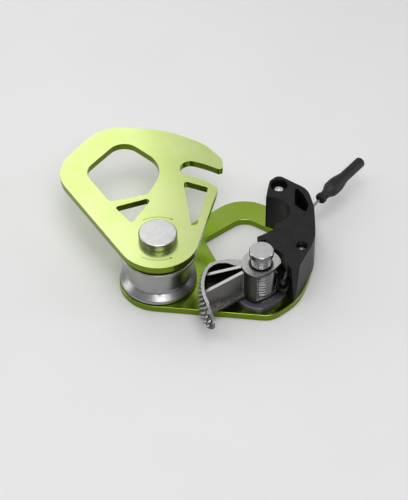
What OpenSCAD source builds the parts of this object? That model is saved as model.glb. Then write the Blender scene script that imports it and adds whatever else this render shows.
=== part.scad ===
// Rope-clamping pulley (progress-capture ascender), side plate swung open.
// Origin: the sheave axis on the underside of the back plate. +Z runs up the axles,
// +Y runs from the sheave axis towards the carabiner hole.

/* [Side plates] */
// Thickness of each side plate
plate_t = 3; // [2.5:0.25:4]
// Clear gap between the two side plates
plate_gap = 20; // [19.5:0.1:22]
// Angle by which the front plate is swung open
open_a = 84; // [0:1:180]
// End radius of the front plate around the sheave axle
front_end_r = 16.4; // [16:0.1:18]
// End radius of the back plate around the sheave axle
back_end_r = 15.8; // [15.6:0.1:18]
// Play between the latch slot and the cam pin, on each side
slot_play = 0.4; // [0.2:0.05:0.8]

/* [Sheave and bearing] */
// Flange radius of the sheave
sheave_r = 15.5; // [14.5:0.1:15.6]
// Root radius of the rope groove
groove_r = 12.6; // [12.3:0.1:13]
// Width of the sheave
sheave_w = 16.8; // [15:0.1:17]
// Gap between the sheave and the back plate
sheave_gap = 0.5; // [0.3:0.1:1]
// Outer radius of the ball bearing
bearing_r = 11; // [10.5:0.1:11]
// Width of the ball bearing
bearing_w = 7; // [6:0.5:8]
// Radius of the bearing balls
ball_r = 1.95; // [1.8:0.05:2]
// Number of bearing balls
ball_n = 7; // [6:1:8]
// Radius of the sheave axle
axle_r = 4; // [3.5:0.5:4]
// Radius of the head of the sheave axle
axle_head_r = 7.75; // [7:0.05:9]
// Thickness of the head of the sheave axle
axle_head_t = 3.25; // [2:0.05:4]

/* [Cam] */
// Distance of the cam pin from the sheave axis
cam_pin_d = 42; // [42:0.1:43]
// Direction of the cam pin from the sheave axis
cam_pin_a = 53; // [52:0.1:54]
// Radius of the cam pin
cam_pin_r = 4; // [3.8:0.05:4]
// Radius of the head of the cam pin
cam_head_r = 4.95; // [4.8:0.05:5.5]
// Outer radius of the cam hub
hub_r = 7.95; // [7.8:0.05:8.2]
// Height of the toothed face of the cam
cam_face_h = 12.7; // [11:0.1:14]
// Wall thickness of the cam
cam_wall = 1.4; // [1.2:0.1:1.8]
// Number of teeth along the cam face
tooth_n = 11; // [8:1:12]
// Length of one tooth
tooth_h = 1.5; // [1:0.1:1.6]

/* [Housing and release] */
// Height of the housing above the back plate
housing_h = 17; // [16:0.1:18]
// Height of the pull wire above the back plate
wire_z = 9; // [8:0.5:10]
// Radius of the pull wire
wire_r = 0.6; // [0.4:0.05:0.8]
// Length of the pull grip
grip_l = 29.4; // [26:0.1:32]
// Largest radius of the pull grip
grip_r = 3.35; // [2.9:0.05:3.5]

/* [Hidden] */
$fn = 64;
e = 0.02;                               // overshoot of cuts

front_z = plate_t + plate_gap;          // underside of the front plate
top_z = front_z + plate_t;              // upper face of the front plate
sheave_z = plate_t + sheave_gap;
mid_z = sheave_z + sheave_w / 2;        // middle of sheave and bearing
brg_z = mid_z - bearing_w / 2;
brg_top = mid_z + bearing_w / 2;
ball_pitch_r = 7.6;
inner_ring_r = 6;
race_r = 9.2;
pin = polar(cam_pin_d, cam_pin_a);      // cam pin axis
hub_z = plate_t + 2.85;                 // underside of the cam
hub_top = plate_t + 18;
flange_t = 1.3;
cavity_r = hub_r - 1.9;                 // spring chamber in the hub
slot_w = cam_pin_r + slot_play;         // half width of the latch slot
slot_in = cam_pin_d - slot_w;
slot_out = cam_pin_d + slot_w;
slot_end_a = cam_pin_a + 0.3;
house_z = plate_t;
house_top = plate_t + housing_h;
lug_a = 51;                             // wire lug on the cam hub
lug_d = 9;
lug = pin + polar(lug_d, lug_a);
wire_h = plate_t + wire_z;
collar = [-4.9, 75.1];                  // where wire and grip meet
grip_a = 116.6;
grip_neck_r = 1.9;                      // at the collar
grip_tail_r = 2.25;                     // at the far end
bend_l = 4;                             // from the wire's bend to the collar
bend = collar - polar(bend_l, grip_a);
wire_a = atan2(bend[1] - lug[1], bend[0] - lug[0]);
wire_l = norm(bend - lug);              // straight part inside the housing
sleeve_d = 16.6;                        // from the bend back to the wire sleeve
screws = [[-12.3, 59.9], [22.5, 53]];   // housing screws

// ---- small helpers -------------------------------------------------------
function polar(r, a) = [r * cos(a), r * sin(a)];
function unit(v) = v / norm(v);
function arc_pts(c, r, a0, a1, n) = [for (i = [0:n]) c + polar(r, a0 + (a1 - a0) * i / n)];
function turn(a) = a > 180 ? a - 360 : (a < -180 ? a + 360 : a);
// one corner [x, y, r] of an outline as a tangent arc
function corner(p, q, s) =
    let (a = unit([p[0] - q[0], p[1] - q[1]]), b = unit([s[0] - q[0], s[1] - q[1]]),
        h = acos(a * b) / 2, c = [q[0], q[1]] + unit(a + b) * q[2] / sin(h),
        t = q[2] / tan(h), u = [q[0], q[1]] + a * t - c, w = [q[0], q[1]] + b * t - c,
        a0 = atan2(u[1], u[0]), d = turn(atan2(w[1], w[0]) - a0), n = max(3, ceil(abs(d) / 7)))
    q[2] < 0.05 ? [[q[0], q[1]]] : arc_pts(c, q[2], a0, a0 + d, n);
function rounded(v) = [for (i = [0:len(v) - 1])
    each corner(v[(i + len(v) - 1) % len(v)], v[i], v[(i + 1) % len(v)])];
// touching point on a circle of radius r round the origin, of the line to p
function tangent(p, r, side) = polar(r, atan2(p[1], p[0]) + side * acos(r / norm([p[0], p[1]])));

module at(p, z = 0, a = 0) translate([p[0], p[1], z]) rotate(a) children();
module ring(r_out, r_in, h) difference() {
    cylinder(r = r_out, h = h);
    translate([0, 0, -e]) cylinder(r = r_in, h = h + 2 * e);
}
module chamfered(r, h, c) {
    cylinder(r = r, h = h - c);
    translate([0, 0, h - c]) cylinder(r1 = r, r2 = r - c, h = c);
}

// ---- side plates ---------------------------------------------------------
// Shoulder, crown and hook of the plates as corners [x, y, radius].
plate_crown = [[23, 58.4, 40], [-1.9, 70, 19], [-29, 50.4, 16]];
back_nose = [[38.4, 32.6, 9], [34.6, 46.2, 22]];
front_nose = [[37.3, 28.1, 1.5], [39.3, 34.6, 6], [35.2, 45.6, 20]];
carabiner_hole = [[-12.1, 25.9, 2.5], [4.3, 25.2, 5], [16, 38.6, 13], [4.1, 59.8, 7.3],
    [-16.9, 46.3, 7]];
left_window = [[-11.1, 22.5, 1.1], [-7.3, 11.4, 1], [5.6, 22.9, 1.3]];
right_window = [[14.8, 2.7, 0.7], [17.3, 2.3, 0.9], [28.4, 20.8, 1.2], [20, 27.9, 1.3]];

module back_outline() {
    a = tangent(back_nose[0], back_end_r, -1);
    b = tangent(plate_crown[2], back_end_r, 1);
    circle(r = back_end_r, $fn = 96);
    polygon(rounded(concat([[a[0], a[1], 0]], back_nose, plate_crown, [[b[0], b[1], 0]])));
}
module front_outline() {
    prong = polar(slot_in, 31.2);
    a = tangent(prong, front_end_r, -1);
    b = tangent(plate_crown[2], front_end_r, 1);
    circle(r = front_end_r, $fn = 96);
    difference() {
        polygon(rounded(concat([[a[0], a[1], 0], [prong[0], prong[1], 2.2]],
            [for (p = [polar(slot_in, 40), polar(slot_out, 46)]) [p[0], p[1], 0]],
            front_nose, plate_crown, [[b[0], b[1], 0]])));
        latch_slot();
    }
}
// Slot that swings over the neck of the cam pin, an arc round the sheave axis.
module latch_slot() {
    polygon(concat(arc_pts([0, 0], slot_in, slot_end_a, 33.6, 14),
        [polar(slot_in + 2, 24), polar(slot_out + 2, 24)],
        arc_pts([0, 0], slot_out, 37, slot_end_a, 14)));
    translate(polar(cam_pin_d, slot_end_a)) circle(r = slot_w);
}

module back_plate() color([0.42, 0.56, 0.10]) difference() {
    linear_extrude(plate_t) back_outline();
    translate([0, 0, -e]) linear_extrude(plate_t + 2 * e) polygon(rounded(carabiner_hole));
    translate([0, 0, -e]) cylinder(r = axle_r, h = plate_t + 2 * e);
    translate([0, 0, -e]) cylinder(r1 = axle_r + 1.4, r2 = axle_r, h = 1.4);
    at(pin, -e) cylinder(r = cam_pin_r, h = plate_t + 2 * e);
    at(pin, -e) cylinder(r1 = cam_pin_r + 1.4, r2 = cam_pin_r, h = 1.4);
    for (s = screws) at(s, -e) cylinder(r = 1.25, h = plate_t + 2 * e);
}

module front_plate() color([0.78, 0.88, 0.42]) rotate(open_a) translate([0, 0, front_z])
    difference() {
        linear_extrude(plate_t) front_outline();
        translate([0, 0, -e]) linear_extrude(plate_t + 2 * e) {
            polygon(rounded(carabiner_hole));
            polygon(rounded(left_window));
            polygon(rounded(right_window));
        }
        translate([0, 0, -e]) cylinder(r = axle_r + 0.05, h = plate_t + 2 * e);
    }

// ---- sheave, bearing and axle --------------------------------------------
module sheave() color([0.72, 0.73, 0.74]) translate([0, 0, sheave_z]) {
    lip = 1.7;
    wall = 2.5;
    difference() {
        rotate_extrude($fn = 96) polygon([[bearing_r - 0.7, 0], [sheave_r - 0.3, 0], [sheave_r, 0.3],
            [sheave_r, lip - 0.3], [sheave_r - 0.3, lip], [groove_r + 0.4, lip + wall - 0.5],
            [groove_r, lip + wall + 0.6], [groove_r, sheave_w - lip - wall - 0.6],
            [groove_r + 0.4, sheave_w - lip - wall + 0.5], [sheave_r - 0.3, sheave_w - lip],
            [sheave_r, sheave_w - lip + 0.3], [sheave_r, sheave_w - 0.3],
            [sheave_r - 0.3, sheave_w], [bearing_r - 0.7, sheave_w]]);
        translate([0, 0, brg_z - sheave_z]) cylinder(r = bearing_r, h = sheave_w);
        translate([0, 0, brg_top - sheave_z + 0.1]) cylinder(r = bearing_r + 0.5, h = 0.9);
    }
}

module race_cut() translate([0, 0, mid_z]) rotate_extrude() translate([ball_pitch_r, 0])
    circle(r = ball_r + 0.03, $fn = 32);

module bearing_outer_ring() color([0.80, 0.81, 0.83]) difference() {
    translate([0, 0, brg_z]) ring(bearing_r, race_r, bearing_w);
    race_cut();
}
module bearing_inner_ring() color([0.80, 0.81, 0.83]) difference() {
    translate([0, 0, brg_z]) ring(inner_ring_r, axle_r, bearing_w);
    race_cut();
}
module bearing_balls() color([0.88, 0.89, 0.90]) for (i = [0:ball_n - 1])
    at(polar(ball_pitch_r, i * 360 / ball_n), mid_z) sphere(r = ball_r, $fn = 32);
module bearing_cage() color([0.72, 0.60, 0.36]) difference() {
    translate([0, 0, mid_z - 2.6]) ring(ball_pitch_r + 0.6, ball_pitch_r - 0.6, 2.8);
    for (i = [0:ball_n - 1]) at(polar(ball_pitch_r, i * 360 / ball_n), mid_z)
        sphere(r = ball_r + 0.02, $fn = 32);
}
module shield(z) color([0.66, 0.67, 0.69]) translate([0, 0, z])
    ring(race_r, inner_ring_r + 0.3, 0.35);
module bearing_shield_back() shield(brg_z + 0.15);
module bearing_shield_front() shield(brg_top - 0.5);

// Internal retaining ring, open at one side.
module bearing_circlip() color([0.30, 0.31, 0.33]) difference() {
    translate([0, 0, brg_top + 0.1]) ring(bearing_r + 0.5, bearing_r - 0.9, 0.8);
    translate([0, 0, brg_top]) linear_extrude(2)
        polygon([[0, 0], polar(20, -14), polar(20, 14)]);
}

module sheave_axle() color([0.84, 0.84, 0.86]) {
    cylinder(r1 = axle_r + 1.4, r2 = axle_r, h = 1.4);
    cylinder(r = axle_r, h = top_z + 0.5);
    translate([0, 0, top_z + 0.25]) chamfered(axle_head_r, axle_head_t, 0.4);
}
module back_spacer() color([0.62, 0.63, 0.65]) translate([0, 0, plate_t])
    ring(inner_ring_r, axle_r, brg_z - plate_t);
module front_spacer() color([0.62, 0.63, 0.65]) translate([0, 0, brg_top])
    ring(inner_ring_r, axle_r, front_z - 0.8 - brg_top);
module wave_washer() color([0.50, 0.51, 0.54]) translate([0, 0, front_z - 0.8])
    ring(7.2, axle_r, 0.5);

// ---- cam -----------------------------------------------------------------
flat_a = 15.6;                          // the open side of the hub
flat_r = 20.5;                          // radius of its shallow bow
face_a0 = 244;                          // far end of the toothed face
face_a1 = 297;                          // near end, at the tail
// Radius of the toothed face: a spiral that tightens on the rope as the cam turns.
function face_r(a) = 21.7 + 0.178 * (a - face_a0);
function face_pt(a) = polar(face_r(a), a);

module hub_disc(h) linear_extrude(h) intersection() {
    circle(r = hub_r);
    rotate(flat_a) translate([5.9 - flat_r, 0]) circle(r = flat_r, $fn = 96);
}
// Outer skin: spiral face, rounded far shoulder and the return towards the hub.
module cam_skin() linear_extrude(cam_face_h) difference() {
    polygon(concat([for (i = [0:18]) face_pt(face_a1 + (face_a0 - face_a1) * i / 18)],
        [[-10.6, -17.6], [-10.8, -14.4], [-9.6, -9.8], [-6.6, -4.4], [-3, -6]],
        [[-5, -8.6], [-8, -11.4]], [[-9.3, -14.4], [-9.1, -16.8]],
        [for (i = [0:18]) let (a = face_a0 + 3 + (face_a1 - face_a0 - 3) * i / 18)
            polar(face_r(a) - cam_wall, a)]));
}
// Upright rib from a to b in plan, of height z_a falling to z_b.
module cam_rib(a, b, z_a, z_b) translate([a[0], a[1], 0])
    rotate(atan2(b[1] - a[1], b[0] - a[0])) translate([0, cam_wall / 2, 0]) rotate([90, 0, 0])
        linear_extrude(cam_wall) polygon([[0, 0], [norm(b - a), 0], [norm(b - a), z_b], [0, z_a]]);
module cam_tooth(a, z) rotate(a) translate([face_r(a) - 0.4, 0, z]) rotate([0, 90, -6])
    cylinder(r1 = 0.95, r2 = 0.12, h = tooth_h + 0.4, $fn = 16);

module cam() color([0.62, 0.63, 0.65]) at(pin, hub_z) difference() {
    union() {
        hub_disc(flange_t);
        translate([0, 0, hub_top - hub_z - flange_t]) hub_disc(flange_t);
        difference() {
            cylinder(r = hub_r, h = hub_top - hub_z);
            translate([0, 0, -e]) cylinder(r = cavity_r, h = hub_top);
            translate([0, 0, -e]) linear_extrude(hub_top) polygon([[0, 0], polar(30, -37),
                polar(40, flat_a), polar(40, 66), polar(30, 112)]);
        }
        cam_skin();
        // arm: upright web on a low shelf, and a second rib behind it
        cam_rib([-0.2, -6.8], [-0.2, -25], 13.6, 9.2);
        linear_extrude(flange_t) polygon([[-0.9, -6.8], [1.8, -7], [4, -26.4], [-0.9, -25.2]]);
        cam_rib([-2.9, -6.4], [-6.9, -20.6], 13.6, 11.2);
        // lug that carries the nipple of the pull wire
        translate([0, 0, wire_h - hub_z - 2.6]) linear_extrude(1.5) {
            polygon(concat(arc_pts([0, 0], 8.4, 38, 130, 14), arc_pts([0, 0], 6.4, 130, 38, 14)));
            translate(polar(lug_d, lug_a)) circle(r = 2.5);
        }
        for (j = [0:2], i = [0:tooth_n - 1])
            cam_tooth(face_a0 + 2 + (i + 0.5 * (j % 2)) * 50 / tooth_n, 2.1 + 4 * j);
    }
    // running bores for the two bushings, and the spring chamber between them
    translate([0, 0, -e]) cylinder(r = cam_pin_r + 0.6, h = hub_top);
    translate([0, 0, flange_t]) cylinder(r = cavity_r, h = hub_top - hub_z - 2 * flange_t);
    translate([0, 0, hub_top - hub_z - 0.5]) cylinder(r1 = cam_pin_r + 0.6, r2 = cam_pin_r + 1.3, h = 0.52);
    // tail: sloped on top, cut away below
    rotate(286.5) translate([15, 0, cam_face_h]) rotate([-45, 0, 0]) cube([20, 16, 16]);
    rotate(290.5) translate([15, 0, 0]) rotate([-50, 0, 0]) cube([20, 16, 16]);
}

module cam_pin() color([0.86, 0.86, 0.87]) at(pin) {
    cylinder(r1 = cam_pin_r + 1.4, r2 = cam_pin_r, h = 1.4);
    difference() {
        cylinder(r = cam_pin_r, h = top_z + 0.5);
        // turned grooves of the neck
        for (i = [0:4]) translate([0, 0, hub_top + 0.9 + 0.85 * i]) rotate_extrude()
            translate([cam_pin_r + 0.05, 0]) circle(r = 0.3, $fn = 16);
    }
    translate([0, 0, top_z + 0.2]) chamfered(cam_head_r, 2.2, 0.35);
}
module bushing(z) color([0.20, 0.20, 0.21]) at(pin, z) ring(cam_pin_r + 0.6, cam_pin_r + 0.05, 0.8);
module cam_bushing_lower() bushing(hub_z + 0.2);
module cam_bushing_upper() bushing(hub_top - flange_t);
module cam_spring() color([0.78, 0.79, 0.80]) at(pin, hub_z + flange_t + 0.2)
    ring(5.7, 4.7, hub_top - hub_z - 2 * flange_t - 0.4);
module cam_base() color([0.42, 0.40, 0.46]) at(pin, plate_t) difference() {
    intersection() {
        chamfered(10.2, 2.2, 0.4);
        rotate(flat_a) translate([8.8 - 24, 0, 0]) cylinder(r = 24, h = 3, $fn = 96);
    }
    translate([0, 0, -e]) cylinder(r = cam_pin_r, h = 3);
}
module thrust_washer() color([0.74, 0.75, 0.76]) at(pin, plate_t + 2.2) ring(6.6, cam_pin_r, 0.4);

// ---- housing and release wire --------------------------------------------
housing_line = [[34.6, 43.6, 0.6], [34.4, 44.8, 1], [21.2, 60, 22], [5, 67.4, 25],
    [-5.2, 69.6, 9], [-17.8, 62.2, 2.8], [-16.3, 57.6, 2], [-11.6, 54.2, 6], [-7.9, 51.8, 0.5]];
module housing_shape() difference() {
    polygon(concat(rounded(housing_line),
        arc_pts([-0.6, 50.6], 7.6, 165, -14, 16),
        [[9.6, 46.6], [10.3, 42.6], [10.6, 38.9], [12.8, 38.1], [13.4, 41.2]]));
    translate(pin) circle(r = 10.5);
}
module housing() color([0.17, 0.17, 0.18]) difference() {
    translate([0, 0, house_z]) linear_extrude(housing_h) housing_shape();
    // the beak is a thin lip at the top
    translate([8, 36, house_z - e]) cube([7.2, 8.5, housing_h - 2.3]);
    // leaning end
    translate([34.6, 40, house_z]) rotate([0, -8, 0]) translate([0, 0, -5]) cube([6, 8, 40]);
    // room for the wire lug as the cam turns
    at(pin, wire_h - 3.2) cylinder(r = 12.4, h = 5.4);
    // wire passage
    at(lug, wire_h, wire_a) rotate([0, 90, 0]) cylinder(r = 1.0, h = 60);
    at(bend - polar(sleeve_d, wire_a), wire_h, wire_a) rotate([0, 90, 0])
        cylinder(r = 1.6, h = 30);
    // window over the wire
    translate([0, 0, wire_h - 3]) linear_extrude(housing_h) polygon(rounded([[-9, 65.6, 0.8],
        [0.4, 60.7, 1.2], [6.6, 62.9, 1], [3, 65.9, 2.5], [-3.6, 66.6, 3]]));
    // screw seats
    at(screws[0], house_top - 3.5) cylinder(r = 3.5, h = 5);
    at(screws[1], house_top - 3.7) cylinder(r = 2.35, h = 5);
    for (s = screws) at(s, house_z - e) cylinder(r = 1.25, h = 20);
}
module screw(p, seat, r) color([0.80, 0.80, 0.82]) at(p) {
    translate([0, 0, 0.4]) cylinder(r = 1.25, h = seat - 0.3);
    translate([0, 0, seat]) difference() {
        chamfered(r, 1.2, 0.3);
        translate([0, 0, 0.5]) cylinder(r = 0.8, h = 1, $fn = 6);
    }
}
module housing_screw_upper() screw(screws[0], house_top - 3.5, 2);
module housing_screw_lower() screw(screws[1], house_top - 3.7, 1.9);

module wire_sleeve() color([0.55, 0.56, 0.58]) at(bend - polar(sleeve_d, wire_a), wire_h, wire_a)
    rotate([0, 90, 0]) ring(1.6, 0.7, 2.4);
// The wire runs straight out of the housing, and bends before the collar.
module pull_wire() color([0.62, 0.63, 0.64]) {
    wire_bore(0.9, wire_l - 0.8);
    at(bend - polar(0.1, grip_a), wire_h, grip_a) rotate([0, 90, 0])
        cylinder(r = wire_r, h = bend_l + 1.3);
}
module wire_bore(d, l) at(lug, wire_h, wire_a) rotate([0, 90, 0]) translate([0, 0, d])
    cylinder(r = wire_r, h = l);
module wire_nipple() color([0.75, 0.70, 0.55]) difference() {
    at(lug, wire_h - 1) chamfered(1.3, 2.2, 0.3);
    wire_bore(0.9, 2);
}
module grip_collar() color([0.05, 0.05, 0.05]) difference() {
    at(collar, wire_h, grip_a) rotate([0, 90, 0])
        rotate_extrude() polygon([[0, 0], [1.9, 0], [2.3, 0.4], [2.3, 1.8],
            [grip_neck_r, 2.2], [0, 2.2]]);
    at(collar, wire_h, grip_a) rotate([0, 90, 0]) cylinder(r = wire_r, h = 1.2);
}
// Grip: short neck, shoulder, finger bulge and a thick tail with a rounded end.
function smooth(t) = let (u = min(1, max(0, t))) u * u * (3 - 2 * u);
function grip_rad(t) = grip_neck_r + (grip_r - grip_neck_r) * smooth((t - 0.06) / 0.16)
    - (grip_r - grip_tail_r) * smooth((t - 0.32) / 0.28);
module pull_grip() color([0.25, 0.25, 0.25]) at(collar + polar(2.2, grip_a), wire_h, grip_a)
    rotate([0, 90, 0]) rotate_extrude() polygon(concat([[0, 0]],
        [for (i = [0:20]) [grip_rad(i / 20), i / 20 * (grip_l - 3.4)]],
        [for (i = [1:5]) [grip_rad(1) * cos(i * 18), grip_l - 3.4 + 1.2 * sin(i * 18)]]));

back_plate();
front_plate();
sheave();
bearing_outer_ring();
bearing_inner_ring();
bearing_balls();
bearing_cage();
bearing_shield_back();
bearing_shield_front();
bearing_circlip();
sheave_axle();
back_spacer();
front_spacer();
wave_washer();
cam();
cam_pin();
cam_bushing_lower();
cam_bushing_upper();
cam_spring();
cam_base();
thrust_washer();
housing();
housing_screw_upper();
housing_screw_lower();
wire_sleeve();
pull_wire();
wire_nipple();
grip_collar();
pull_grip();
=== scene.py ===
"""Rope-clamping pulley (ascender): looks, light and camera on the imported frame.

Lengths are in millimetres, and MM scales them where a mesh, a modifier, a lamp or the camera is made.
Every piece keeps its object at the origin, so object coordinates are the frame's own.
"""
import math

import bpy
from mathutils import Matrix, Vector


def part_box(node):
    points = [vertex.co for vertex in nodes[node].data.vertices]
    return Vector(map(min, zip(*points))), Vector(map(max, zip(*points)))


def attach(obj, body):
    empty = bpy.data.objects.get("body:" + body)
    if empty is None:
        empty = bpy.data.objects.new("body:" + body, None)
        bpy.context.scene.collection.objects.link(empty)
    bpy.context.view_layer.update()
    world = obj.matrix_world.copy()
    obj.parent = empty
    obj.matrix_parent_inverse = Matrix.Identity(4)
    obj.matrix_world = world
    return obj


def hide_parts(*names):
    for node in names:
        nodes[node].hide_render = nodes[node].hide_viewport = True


MM = 0.001
UP = Vector((0, 0, 1))

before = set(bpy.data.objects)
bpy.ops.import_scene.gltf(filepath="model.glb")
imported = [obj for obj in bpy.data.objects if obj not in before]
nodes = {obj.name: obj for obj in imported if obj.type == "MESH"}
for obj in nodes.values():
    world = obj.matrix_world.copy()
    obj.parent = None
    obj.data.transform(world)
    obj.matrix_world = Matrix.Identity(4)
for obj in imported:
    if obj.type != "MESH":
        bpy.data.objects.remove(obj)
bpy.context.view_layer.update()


def box_mm(node):
    """Low and high corner of a node's box."""
    low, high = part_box(node)
    return low / MM, high / MM


def centre_mm(node):
    """Middle of a node's box."""
    low, high = box_mm(node)
    return (low + high) / 2


def polar(r, degrees):
    """Level vector of length r, turned from +X."""
    a = math.radians(degrees)
    return Vector((r * math.cos(a), r * math.sin(a), 0))


# ---- places taken from the frame -------------------------------------------
AXLE = centre_mm("sheave_axle")
PIN = centre_mm("cam_pin")
NIPPLE = centre_mm("wire_nipple")
CAM_TOP = box_mm("cam")[1].z
BACK_Z = box_mm("back_plate")[0].z

# ---- the view: azimuth 0 looks along +Y and 90 along -X ------------------------
VIEW_AZIMUTH = 65.1
VIEW_ELEVATION = 46.0
VIEW_DISTANCE = 1000.0
VIEW_TARGET = Vector((8.28, 16.40, 20.0))
VIEW_RIGHT = polar(1, VIEW_AZIMUTH)
VIEW_AWAY = polar(1, VIEW_AZIMUTH + 90)


# ---- materials --------------------------------------------------------------
class Surface:
    """A procedural material: small calls add nodes, and each returns the socket that it makes."""

    def __init__(self, name, metallic=0.0, roughness=0.5, **constants):
        self.material = bpy.data.materials.new(name)
        self.material.use_nodes = True
        self.tree = self.material.node_tree
        self.shader = self.tree.nodes["Principled BSDF"]
        self.shader.inputs["Metallic"].default_value = metallic
        self.shader.inputs["Roughness"].default_value = roughness
        for socket, value in constants.items():
            self.shader.inputs[socket.replace("_", " ")].default_value = value
        place = self.add("ShaderNodeTexCoord").outputs["Object"]
        self.mm = self.vector("SCALE", place, scale=1 / MM)

    def add(self, kind, settings=None, **inputs):
        node = self.tree.nodes.new(kind)
        for key, value in (settings or {}).items():
            setattr(node, key, value)
        for key, value in inputs.items():
            self.feed(node.inputs[key.replace("_", " ")], value)
        return node

    def feed(self, socket, value):
        if isinstance(value, bpy.types.NodeSocket):
            self.tree.links.new(value, socket)
        else:
            socket.default_value = value

    def vector(self, operation, a, b=None, scale=None):
        node = self.add("ShaderNodeVectorMath", {"operation": operation})
        self.feed(node.inputs[0], a)
        if b is not None:
            self.feed(node.inputs[1], b)
        if scale is not None:
            node.inputs["Scale"].default_value = scale
        return node.outputs["Value" if operation in ("LENGTH", "DOT_PRODUCT") else "Vector"]

    def math(self, operation, a, b=0.0):
        node = self.add("ShaderNodeMath", {"operation": operation})
        self.feed(node.inputs[0], a)
        self.feed(node.inputs[1], b)
        return node.outputs[0]

    def noise(self, scale, detail=3.0, rough=0.55, at=None):
        """Noise whose features are about 1/scale millimetres."""
        node = self.add("ShaderNodeTexNoise", Scale=scale, Detail=detail, Roughness=rough,
                        Vector=self.mm if at is None else at)
        return node.outputs["Fac"]

    def cells(self, scale):
        """Rounded cells about 1/scale millimetres across."""
        node = self.add("ShaderNodeTexVoronoi", {"feature": "SMOOTH_F1"}, Scale=scale,
                        Vector=self.mm)
        return node.outputs["Distance"]

    def spread(self, fac, low, high, out_low=0.0, out_high=1.0):
        """fac from low..high to out_low..out_high, clamped."""
        node = self.add("ShaderNodeMapRange", {"interpolation_type": "SMOOTHSTEP"}, Value=fac)
        for i, value in enumerate((low, high, out_low, out_high)):
            node.inputs[i + 1].default_value = value
        return node.outputs["Result"]

    def mix(self, fac, a, b):
        """Colour a where fac is 0 and colour b where it is 1."""
        node = self.add("ShaderNodeMix", {"data_type": "RGBA"})
        self.feed(node.inputs["Factor"], fac)
        for socket, value in ((node.inputs[6], a), (node.inputs[7], b)):
            self.feed(socket, value if isinstance(value, bpy.types.NodeSocket) else (*value, 1.0))
        return node.outputs[2]

    def bumps(self, *layers):
        """Bump from (height, depth in mm) pairs, one on top of the other."""
        normal = None
        for height, depth in layers:
            node = self.add("ShaderNodeBump", Height=height, Strength=1.0, Distance=depth * MM)
            if normal is not None:
                self.feed(node.inputs["Normal"], normal)
            normal = node.outputs["Normal"]
        self.feed(self.shader.inputs["Normal"], normal)

    def colour(self, value):
        self.feed(self.shader.inputs["Base Color"], value)

    def roughness(self, value):
        self.feed(self.shader.inputs["Roughness"], value)

    def both(self, *factors):
        """1 only where every factor is 1."""
        result = factors[0]
        for factor in factors[1:]:
            result = self.math("MULTIPLY", result, factor)
        return result

    def normal(self):
        return self.add("ShaderNodeTexCoord").outputs["Normal"]

    def upward(self):
        """The upright part of the surface normal, 1 on top faces and 0 on walls."""
        return self.vector("DOT_PRODUCT", self.normal(), UP)

    def level(self):
        """1 on top and bottom faces and 0 on walls."""
        return self.math("ABSOLUTE", self.upward())

    def rims(self):
        """1 on the rounded edges between a top and a wall, where the surface leans."""
        up = self.upward()
        return self.both(self.spread(up, 0.12, 0.45), self.spread(up, 0.72, 0.93, 1.0, 0.0))

    def outward(self, centre):
        """How far the surface faces away from an upright axis, 1 at most."""
        return self.vector("DOT_PRODUCT", self.normal(), self.way_out(centre))

    def way_out(self, centre):
        """Level direction away from an upright axis."""
        return self.vector("NORMALIZE", self.flat_offset(centre))

    def flat_offset(self, centre):
        """Level vector in mm from an upright axis."""
        return self.vector("MULTIPLY", self.vector("SUBTRACT", self.mm, (centre.x, centre.y, 0)),
                           (1, 1, 0))

    def radius(self, centre):
        """Distance in mm from an upright axis."""
        return self.vector("LENGTH", self.flat_offset(centre))

    def height(self):
        return self.add("ShaderNodeSeparateXYZ", Vector=self.mm).outputs["Z"]

    def turning_lines(self, centre, pitch):
        """Lathe lines round an upright axis, pitch mm apart."""
        rings = self.add("ShaderNodeCombineXYZ", X=self.radius(centre), Y=self.height())
        return self.noise(1 / pitch, 2.0, 0.6, rings.outputs["Vector"])


def anodised(name, face, deep, wall, gloss, marks=False):
    """Satin anodised aluminium: pale blasted faces; painted shade makes the rolled edges deeper green and
    the cut walls dark.
    """
    s = Surface(name, metallic=1.0)
    drift = s.spread(s.noise(0.045, 2.0), 0.35, 0.65, 0.0, 0.5)
    grain = s.noise(3.4, 4.0, 0.7)
    speck = s.spread(grain, 0.45, 0.75, 0.0, 0.10)
    flat = s.mix(speck, s.mix(drift, face, deep), tuple(min(1, 1.15 * c + 0.1) for c in face))
    level = s.level()
    # Painted shade: walls get the dark wall colour, which turns to the deeper green on the rolled edges.
    edge = s.mix(s.spread(level, 0.05, 0.75), wall, deep)
    shade = s.mix(s.spread(level, 0.72, 0.99), edge, flat)
    if marks:
        shade = s.mix(direction_marks(s), shade, MARK_INK)
    s.colour(shade)
    s.roughness(s.spread(grain, 0.3, 0.7, *gloss))
    s.bumps((grain, 0.003), (s.noise(11.0, 2.0), 0.0015))
    return s.material


# A thin arc on either side of the axle head, each with one pointed end. The point runs from the first
# to the second of MARK_REACH, the cosines of the angle from the view's right.
MARK_R = 12.0
MARK_LINE = 0.18
MARK_POINT = 0.62
MARK_REACH = (0.42, 0.51)
MARK_STEP = 0.01
MARK_SPAN = 0.85
MARK_COVER = 0.75
MARK_INK = (0.20, 0.27, 0.05)


def direction_marks(s):
    """Ink on two arrow-ended arcs round the axle head, which show a turning direction."""
    out = s.way_out(AXLE)
    ahead = s.math("ABSOLUTE", s.vector("DOT_PRODUCT", out, VIEW_AWAY))
    along = s.vector("DOT_PRODUCT", out, VIEW_RIGHT)
    start, end = MARK_REACH
    half_width = s.both(s.spread(along, start - MARK_STEP, start, MARK_LINE, MARK_POINT),
                        s.spread(along, start, end, 1.0, 0.0))
    off = s.math("ABSOLUTE", s.math("SUBTRACT", s.radius(AXLE), MARK_R))
    inked = s.math("LESS_THAN", off, half_width)
    on_arc = s.math("GREATER_THAN", ahead, MARK_SPAN)
    return s.both(inked, on_arc, MARK_COVER)


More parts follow.
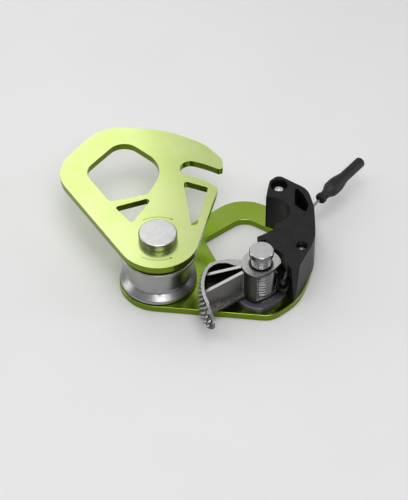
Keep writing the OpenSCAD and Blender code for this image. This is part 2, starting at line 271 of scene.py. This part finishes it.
def turned(name, top, wall, centre, roughness, pitch=0.10, depth=0.003, shaded_below=None):
    """Lathe-turned metal: faced ends are painted brighter than the turned sides as light and shade, and
    below a given height it is painted dark as shade.
    """
    s = Surface(name, metallic=1.0)
    lines = s.turning_lines(centre, pitch)
    # Painted light and shade: faces that look up get the bright end colour, and walls get the darker side
    # colour.
    tone = s.mix(s.spread(s.level(), 0.2, 0.95), wall, top)
    tone = s.mix(s.spread(s.noise(0.35, 3.0), 0.35, 0.75, 0.0, 0.14), tone, (0.2, 0.2, 0.2))
    # Painted shade: below the given height, behind the spring's coils, the pin is painted near black.
    if shaded_below is not None:
        below = s.spread(s.height(), shaded_below - PAINTED_SHADE_BELOW_EDGE, shaded_below + PAINTED_SHADE_BELOW_EDGE, 1.0, 0.0)
        tone = s.mix(below, tone, PAINTED_SHADE_BELOW)
    s.colour(tone)
    s.roughness(s.spread(lines, 0.3, 0.7, *roughness))
    s.bumps((lines, depth), (s.noise(5.0, 3.0), 0.0008))
    return s.material


def cast_steel(name, ground, top, wall, roughness):
    """Tumbled cast steel: a ground hub, as-cast walls painted dark as shade, and edges painted bright as a
    highlight.

    What faces away from the pin, the teeth among it, and the wire's lug are painted dark as shade.
    """
    s = Surface(name, metallic=1.0)
    pits = s.noise(1.5, 5.0, 0.65)
    flat = s.mix(s.spread(s.radius(PIN), HUB_R, HUB_R + 0.3), ground, top)
    # Painted shade: walls get the dark wall colour, and faces that look up get the hub and top colours.
    tone = s.mix(s.spread(s.upward(), 0.25, 0.95), wall, flat)
    tone = s.mix(s.spread(pits, 0.40, 0.75, 0.0, 0.3), tone, tuple(0.4 * c for c in wall))
    # Painted highlight: the rounded edges between tops and walls are painted bright.
    tone = s.mix(s.rims(), tone, EDGE_HIGHLIGHT_STEEL)
    # Painted shade: faces turned away from the pin, the toothed face among them, are darkened.
    tone = s.mix(s.spread(s.outward(PIN), 0.15, 0.75, 0.0, 0.8), tone, tuple(0.35 * c for c in wall))
    tone = s.mix(cut_of_hub(s), tone, ground)
    # Painted shade: the lug towards the wire nipple is painted near black.
    s.colour(s.mix(ear_of_cam(s), tone, tuple(0.2 * c for c in wall)))
    s.roughness(s.spread(pits, 0.3, 0.7, *roughness))
    s.bumps((s.turning_lines(PIN, 0.3), 0.002), (pits, 0.006), (s.noise(7.0, 3.0), 0.002))
    return s.material


def cut_of_hub(s):
    """1 on the narrow upright faces at the sides of the hub's spring window."""
    across = s.spread(s.math("ABSOLUTE", s.outward(PIN)), 0.12, 0.40, 1.0, 0.0)
    upright = s.spread(s.level(), 0.2, 0.5, 1.0, 0.0)
    in_hub = s.spread(s.radius(PIN), HUB_R, HUB_R + 0.2, 1.0, 0.0)
    return s.both(across, upright, in_hub)


def ear_of_cam(s):
    """1 on the lug that stands out of the cam's hub, well below its top, towards the wire nipple, which is
    painted dark as shade.
    """
    way = (NIPPLE - PIN) * Vector((1, 1, 0))
    facing = s.vector("DOT_PRODUCT", s.way_out(PIN), way.normalized())
    low = s.spread(s.height(), CAM_TOP - 2.4, CAM_TOP - 2.0, 1.0, 0.0)
    outer = s.spread(s.radius(PIN), HUB_R - 1.7, HUB_R - 1.5)
    return s.both(s.spread(facing, 0.66, 0.72), outer, low)


def drawn_metal(name, colour, dark, roughness=(0.22, 0.40)):
    """Drawn or rolled metal: fine irregular scratches."""
    s = Surface(name, metallic=1.0)
    scratches = s.noise(1.0, 4.0, 0.6, s.vector("MULTIPLY", s.mm, (0.6, 0.6, 9.0)))
    s.colour(s.mix(s.spread(scratches, 0.3, 0.7), dark, colour))
    s.roughness(s.spread(s.noise(3.0, 3.0), 0.3, 0.7, *roughness))
    s.bumps((scratches, 0.003), (s.noise(6.0, 2.0), 0.002))
    return s.material


def moulded(name, colour, light, roughness, grain_scale=3.2, depth=0.018, specular=0.5):
    """Moulded plastic with a fine leather-like grain and a faint painted highlight on its rounded edges.
    """
    s = Surface(name, Specular_IOR_Level=specular)
    grain = s.cells(grain_scale)
    cloud = s.noise(0.25, 3.0)
    tone = s.mix(s.spread(cloud, 0.3, 0.7), colour, light)
    # Painted highlight: the rounded edges are painted lighter.
    s.colour(s.mix(s.rims(), tone, tuple(c * 1.8 + 0.004 for c in light)))
    s.roughness(s.spread(grain, 0.1, 0.7, *roughness))
    s.bumps((grain, depth), (s.noise(6.0, 3.0), 0.006))
    return s.material


# Near black painted as shade on the pin below the cam's top, and the mm over which it fades in.
PAINTED_SHADE_BELOW = (0.03, 0.03, 0.032)
PAINTED_SHADE_BELOW_EDGE = 0.2
# Bright steel painted on the cam's rounded edges as a highlight.
EDGE_HIGHLIGHT_STEEL = (0.90, 0.89, 0.88)
HUB_R = 8.05
# Each plate's third colour is the painted shade on its walls.
GREEN_FRONT = anodised("green_front", (0.76, 0.89, 0.37), (0.62, 0.80, 0.21), (0.17, 0.25, 0.018),
                       (0.20, 0.27), marks=True)
# The back plate is the front plate's green painted darker, as shade.
GREEN_BACK = anodised("green_back", (0.37, 0.52, 0.075), (0.32, 0.47, 0.04), (0.17, 0.25, 0.018),
                      (0.15, 0.22))
# Each turned metal's second colour is the painted shade on its sides.
SHEAVE_METAL = turned("turned_aluminium", (0.66, 0.66, 0.67), (0.40, 0.40, 0.405), AXLE, (0.27, 0.38),
                      0.16)
RING_STEEL = turned("bearing_steel", (0.82, 0.83, 0.85), (0.70, 0.71, 0.73), AXLE, (0.08, 0.16))
AXLE_STEEL = turned("axle_steel", (0.76, 0.77, 0.75), (0.26, 0.27, 0.23), AXLE, (0.26, 0.34), 0.12, 0.0015)
PIN_STEEL = turned("pin_steel", (0.74, 0.73, 0.73), (0.20, 0.195, 0.195), PIN, (0.18, 0.28), 0.34, 0.002,
                   shaded_below=CAM_TOP)
# The cam's third colour is the painted shade on its walls.
CAM_STEEL = cast_steel("cam_steel", (0.66, 0.65, 0.64), (0.62, 0.61, 0.60), (0.16, 0.155, 0.15),
                       (0.44, 0.24))
SPRING_STEEL = drawn_metal("spring_steel", (0.46, 0.46, 0.47), (0.38, 0.38, 0.40), (0.26, 0.34))
SCREW_STEEL = drawn_metal("screw_steel", (0.88, 0.88, 0.88), (0.72, 0.72, 0.72), (0.22, 0.34))
SHEET_STEEL = drawn_metal("sheet_steel", (0.72, 0.72, 0.73), (0.56, 0.56, 0.58))
NIPPLE_STEEL = drawn_metal("nipple_steel", (0.07, 0.07, 0.075), (0.04, 0.04, 0.045))
WIRE_STEEL = drawn_metal("wire_steel", (0.46, 0.46, 0.48), (0.28, 0.28, 0.30), (0.24, 0.38))
BRASS = drawn_metal("pressed_brass", (0.80, 0.62, 0.30), (0.58, 0.43, 0.18))
DARK_LINER = moulded("dark_liner", (0.020, 0.020, 0.022), (0.034, 0.034, 0.036), (0.3, 0.45),
                     4.0, 0.004)
GREY_PLASTIC = moulded("grey_plastic", (0.066, 0.062, 0.080), (0.100, 0.093, 0.118), (0.24, 0.36),
                       2.4, 0.006)
BLACK_PLASTIC = moulded("black_plastic", (0.007, 0.007, 0.007), (0.013, 0.013, 0.0135), (0.34, 0.50),
                        specular=0.28)
BLACK_RUBBER = moulded("black_rubber", (0.008, 0.008, 0.008), (0.013, 0.013, 0.013), (0.5, 0.7),
                       4.0, 0.01, 0.35)
GRIP_RUBBER = moulded("grip_rubber", (0.008, 0.008, 0.009), (0.017, 0.017, 0.018), (0.42, 0.58),
                      2.0, 0.03, 0.4)

# Each CAD node's material, and how far its sharp edges are rounded.
FINISH = {
    "back_plate": (GREEN_BACK, 0.85),
    "front_plate": (GREEN_FRONT, 0.50),
    "sheave": (SHEAVE_METAL, 0.20),
    "bearing_outer_ring": (RING_STEEL, 0.20),
    "bearing_inner_ring": (RING_STEEL, 0.20),
    "bearing_balls": (RING_STEEL, 0),
    "bearing_cage": (BRASS, 0.06),
    "bearing_shield_back": (SHEET_STEEL, 0.08),
    "bearing_shield_front": (SHEET_STEEL, 0.08),
    "bearing_circlip": (SPRING_STEEL, 0.10),
    "sheave_axle": (AXLE_STEEL, 0.30),
    "back_spacer": (SHEET_STEEL, 0.15),
    "front_spacer": (SHEET_STEEL, 0.15),
    "cam": (CAM_STEEL, 0.32),
    "cam_pin": (PIN_STEEL, 0.16),
    "cam_bushing_lower": (DARK_LINER, 0.06),
    "cam_bushing_upper": (DARK_LINER, 0.06),
    "cam_base": (GREY_PLASTIC, 0.25),
    "thrust_washer": (SHEET_STEEL, 0.06),
    "housing": (BLACK_PLASTIC, 0.35),
    "housing_screw_upper": (SCREW_STEEL, 0.06),
    "housing_screw_lower": (SCREW_STEEL, 0.06),
    "wire_sleeve": (SHEET_STEEL, 0.08),
    "wire_nipple": (NIPPLE_STEEL, 0.10),
    "grip_collar": (BLACK_RUBBER, 0.10),
    "pull_grip": (GRIP_RUBBER, 0),
}


# An edge is rounded where its faces turn by more than this many degrees. The cam's limit leaves its
# teeth out, because the narrow edges at their tips would hold back the rounding of the whole cam.
SHARP = 28
SHARP_CAM = 65
FLAT_WITHIN = 0.6
WELD_GAP = 0.002
EDGE_STEPS = 4
FACE_WEIGHT = 60


def finish_node(name, material, edge):
    """Gives a CAD node its material, and rounds its sharp edges by edge mm with modifiers."""
    piece = nodes[name]
    piece.data.materials.clear()
    piece.data.materials.append(material)
    weld = piece.modifiers.new("weld", "WELD")
    weld.merge_threshold = WELD_GAP * MM
    if edge:
        flat = piece.modifiers.new("flats", "DECIMATE")
        flat.decimate_type = "DISSOLVE"
        flat.angle_limit = math.radians(FLAT_WITHIN)
        bevel = piece.modifiers.new("edges", "BEVEL")
        bevel.width = edge * MM
        bevel.segments = EDGE_STEPS
        bevel.limit_method = "ANGLE"
        bevel.angle_limit = math.radians(SHARP_CAM if name == "cam" else SHARP)
        bevel.use_clamp_overlap = True
    smooth = piece.modifiers.new("normals", "WEIGHTED_NORMAL")
    smooth.weight = FACE_WEIGHT


for name, (material, edge) in FINISH.items():
    finish_node(name, material, edge)


# ---- pieces made in code ----------------------------------------------------
def new_piece(name, points, faces, material, body, slot, replaces=(), smooth=True):
    """A mesh piece from points in mm, riding on a body."""
    mesh = bpy.data.meshes.new(name)
    mesh.from_pydata([Vector(p) * MM for p in points], [], faces)
    mesh.update()
    if smooth:
        mesh.shade_smooth()
    mesh.materials.append(material)
    piece = bpy.data.objects.new(name, mesh)
    bpy.context.scene.collection.objects.link(piece)
    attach(piece, body)
    if replaces:
        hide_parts(*replaces)
    return piece


def heading(path, i):
    """Direction of a path at its point i."""
    return (path[min(i + 1, len(path) - 1)] - path[max(i - 1, 0)]).normalized()


def tube(path, radius, sides):
    """Points and faces of a round wire along a path, with flat ends."""
    points, faces = [], []
    normal = (path[1] - path[0]).orthogonal().normalized()
    for i, p in enumerate(path):
        ahead = heading(path, i)
        normal = (normal - ahead * normal.dot(ahead)).normalized()
        side = ahead.cross(normal)
        for k in range(sides):
            a = math.tau * k / sides
            points.append(p + (normal * math.cos(a) + side * math.sin(a)) * radius)
    for i in range(len(path) - 1):
        for k in range(sides):
            n = (k + 1) % sides
            faces.append((i * sides + k, i * sides + n, (i + 1) * sides + n, (i + 1) * sides + k))
    faces.append(tuple(reversed(range(sides))))
    faces.append(tuple(range((len(path) - 1) * sides, len(path) * sides)))
    return points, faces


def merged(parts):
    """Points and faces of several meshes as one."""
    points, faces = [], []
    for some_points, some_faces in parts:
        start = len(points)
        points += some_points
        faces += [tuple(start + i for i in face) for face in some_faces]
    return points, faces


# Torsion spring round the cam pin: even coils, with a gap between them.
SPRING_WIRE_R = 0.53
SPRING_SIDES = 14
COIL_R = 5.15
COILS = 7.7
COIL_STEPS = 40
COIL_START = -40


def coil_path():
    """Points along the middle of the spring's wire, from the bottom of its box to the top."""
    low, high = box_mm("cam_spring")
    rise = high.z - low.z - 2 * SPRING_WIRE_R
    points = []
    for i in range(int(COILS * COIL_STEPS) + 1):
        turns = i / COIL_STEPS
        level = low.z + SPRING_WIRE_R + rise * min(1, turns / COILS)
        points.append(Vector((PIN.x, PIN.y, level)) + polar(COIL_R, 360 * turns + COIL_START))
    return points


new_piece("spring_coils", *tube(coil_path(), SPRING_WIRE_R, SPRING_SIDES), SPRING_STEEL, "frame",
          "spring_steel", ["cam_spring"])

# Wave washer under the front plate: a ring of spring strip with three waves.
WASHER_STRIP = 0.18
WASHER_WAVES = 3
WASHER_STEPS = 96
WASHER_BORE = 4.6


def waved_ring():
    """Points and faces of the washer, which fills the height of its box."""
    low, high = box_mm("wave_washer")
    middle = (low + high) / 2
    outer = (high.x - low.x) / 2
    swing = (high.z - low.z - WASHER_STRIP) / 2
    section = ((WASHER_BORE, -1), (outer, -1), (outer, 1), (WASHER_BORE, 1))
    corners = len(section)
    points, faces = [], []
    for i in range(WASHER_STEPS):
        turn = i / WASHER_STEPS
        level = middle.z + swing * math.cos(math.tau * WASHER_WAVES * turn)
        for r, side in section:
            rim = Vector((middle.x, middle.y, level + side * WASHER_STRIP / 2))
            points.append(rim + polar(r, 360 * turn))
        ahead = (i + 1) % WASHER_STEPS
        for k in range(corners):
            n = (k + 1) % corners
            faces.append((i * corners + k, i * corners + n, ahead * corners + n, ahead * corners + k))
    return points, faces


new_piece("wave_washer_ring", *waved_ring(), SPRING_STEEL, "frame", "spring_steel", ["wave_washer"],
          smooth=False)

# Pull wire: six strands laid round one, straight through the housing and bent before the grip.
WIRE_R = 0.6
STRAND_R = 0.2
STRAND_SIDES = 8
OUTER_STRANDS = 6
LAY = 7.0
TAIL_TURN = 116.6
TAIL_LENGTH = 5.2
BEND_EASE = 3.2
BEND_STEPS = 12
POINTS_PER_MM = 2


def wire_route():
    """Points along the middle of the pull wire, from its nipple to the grip."""
    low, high = box_mm("pull_wire")
    tail = polar(1, TAIL_TURN)
    middle_z = centre_mm("pull_wire").z
    end = Vector((low.x + WIRE_R * tail.y, high.y + WIRE_R * tail.x, middle_z))
    bend = end - tail * TAIL_LENGTH
    nipple = Vector((NIPPLE.x, NIPPLE.y, middle_z))
    main = (bend - nipple).normalized()
    start = nipple + main
    ease_in, ease_out = bend - main * BEND_EASE, bend + tail * BEND_EASE
    steps = int((ease_in - start).length * POINTS_PER_MM)
    points = [start + main * (i / POINTS_PER_MM) for i in range(steps)]
    for i in range(BEND_STEPS + 1):
        t = i / BEND_STEPS
        points.append(ease_in * (1 - t) ** 2 + bend * (2 * t * (1 - t)) + ease_out * t ** 2)
    points.append(end)
    return points


def strand(route, k):
    """Strand k wound round the route; the last one runs along its middle."""
    reach = 0 if k == OUTER_STRANDS else WIRE_R - STRAND_R
    path, run = [], 0.0
    for i, p in enumerate(route):
        across = heading(route, i).cross(UP)
        run += (p - route[i - 1]).length if i else 0.0
        a = math.tau * (run / LAY + k / OUTER_STRANDS)
        path.append(p + (across * math.cos(a) + UP * math.sin(a)) * reach)
    return tube(path, STRAND_R, STRAND_SIDES)


route = wire_route()
strands = [strand(route, k) for k in range(OUTER_STRANDS + 1)]
new_piece("wire_strands", *merged(strands), WIRE_STEEL, "release", "wire_steel", ["pull_wire"])


# ---- camera, light and floor ------------------------------------------------
LENS = 180
SENSOR = 36
CLIP = (0.05, 20)


def around(azimuth, elevation, distance, target=VIEW_TARGET):
    """A point round the target; azimuth 0 looks along +Y and 90 along -X."""
    a, e = math.radians(azimuth), math.radians(elevation)
    way = Vector((math.sin(a) * math.cos(e), -math.cos(a) * math.cos(e), math.sin(e)))
    return target + distance * way


def aim(piece, place, target=VIEW_TARGET):
    """Puts a lamp or the camera at a place, looking at the target."""
    piece.location = place * MM
    piece.rotation_euler = (target - place).to_track_quat("-Z", "Y").to_euler()


camera = bpy.data.objects.new("camera", bpy.data.cameras.new("camera"))
bpy.context.scene.collection.objects.link(camera)
camera.data.lens = LENS
camera.data.sensor_width = SENSOR
camera.data.clip_start, camera.data.clip_end = CLIP
aim(camera, around(VIEW_AZIMUTH, VIEW_ELEVATION, VIEW_DISTANCE))
bpy.context.scene.camera = camera


def soft_box(name, azimuth, elevation, distance, width, height, power, target=VIEW_TARGET):
    """A flat lamp round the target that the camera doesn't see; its power is in watts."""
    light = bpy.data.objects.new(name, bpy.data.lights.new(name, "AREA"))
    light.data.shape = "RECTANGLE"
    light.data.size, light.data.size_y = width * MM, height * MM
    light.data.energy = power
    light.visible_camera = False
    bpy.context.scene.collection.objects.link(light)
    aim(light, around(azimuth, elevation, distance, target), target)


# The panel hangs close over the far left, where the flat plates mirror it: they pale towards it.
PANEL_SHIFT = 98
PANEL_TARGET = VIEW_TARGET - PANEL_SHIFT * VIEW_RIGHT
soft_box("panel", VIEW_AZIMUTH + 180, 46, 290, 150, 220, 0.07, PANEL_TARGET)
soft_box("key", VIEW_AZIMUTH - 70, 60, 800, 300, 300, 0.5)
soft_box("front", VIEW_AZIMUTH + 8, 52, 900, 420, 160, 1.2)
soft_box("top", VIEW_AZIMUTH + 10, 80, 1000, 600, 600, 3.0)
soft_box("left_strip", VIEW_AZIMUTH - 100, 22, 600, 160, 420, 0.35)
soft_box("right_strip", VIEW_AZIMUTH + 95, 24, 600, 140, 420, 0.30)

# Brightness of the sky by how far a direction points towards SKY_PEAK degrees up behind the object.
SKY_PEAK = 54
DOME = ((0.0, 0.07), (0.50, 0.14), (0.80, 0.50), (0.98, 0.62))


def studio_dome():
    """A sky that is bright high behind the object and dark on the viewer's side."""
    world = bpy.data.worlds.new("studio")
    world.use_nodes = True
    tree = world.node_tree
    place = tree.nodes.new("ShaderNodeTexCoord")
    behind = tree.nodes.new("ShaderNodeVectorMath")
    behind.operation = "DOT_PRODUCT"
    peak = math.radians(SKY_PEAK)
    behind.inputs[1].default_value = VIEW_AWAY * math.cos(peak) + UP * math.sin(peak)
    ramp = tree.nodes.new("ShaderNodeValToRGB")
    tree.links.new(place.outputs["Generated"], behind.inputs[0])
    tree.links.new(behind.outputs["Value"], ramp.inputs["Fac"])
    tree.links.new(ramp.outputs["Color"], tree.nodes["Background"].inputs["Color"])
    for i, (reach, glow) in enumerate(DOME):
        stop = ramp.color_ramp.elements[i] if i < 2 else ramp.color_ramp.elements.new(reach)
        stop.position = reach
        stop.color = (glow, glow, glow, 1)
    bpy.context.scene.world = world


studio_dome()
bpy.context.scene.view_settings.view_transform = "Standard"

# Plain paper just under the back plate.
FLOOR_HALF = 900
FLOOR_Z = BACK_Z - 0.05
corners = ((-1, -1), (1, -1), (1, 1), (-1, 1))
floor_points = [Vector((x * FLOOR_HALF, y * FLOOR_HALF, FLOOR_Z)) * MM for x, y in corners]
floor_mesh = bpy.data.meshes.new("floor")
floor_mesh.from_pydata(floor_points, [], [(0, 1, 2, 3)])
floor = bpy.data.objects.new("floor", floor_mesh)
bpy.context.scene.collection.objects.link(floor)
paper = Surface("paper", roughness=0.9)
paper.colour(paper.mix(paper.noise(0.02, 2.0), (0.90, 0.90, 0.90), (0.94, 0.94, 0.94)))
floor_mesh.materials.append(paper.material)
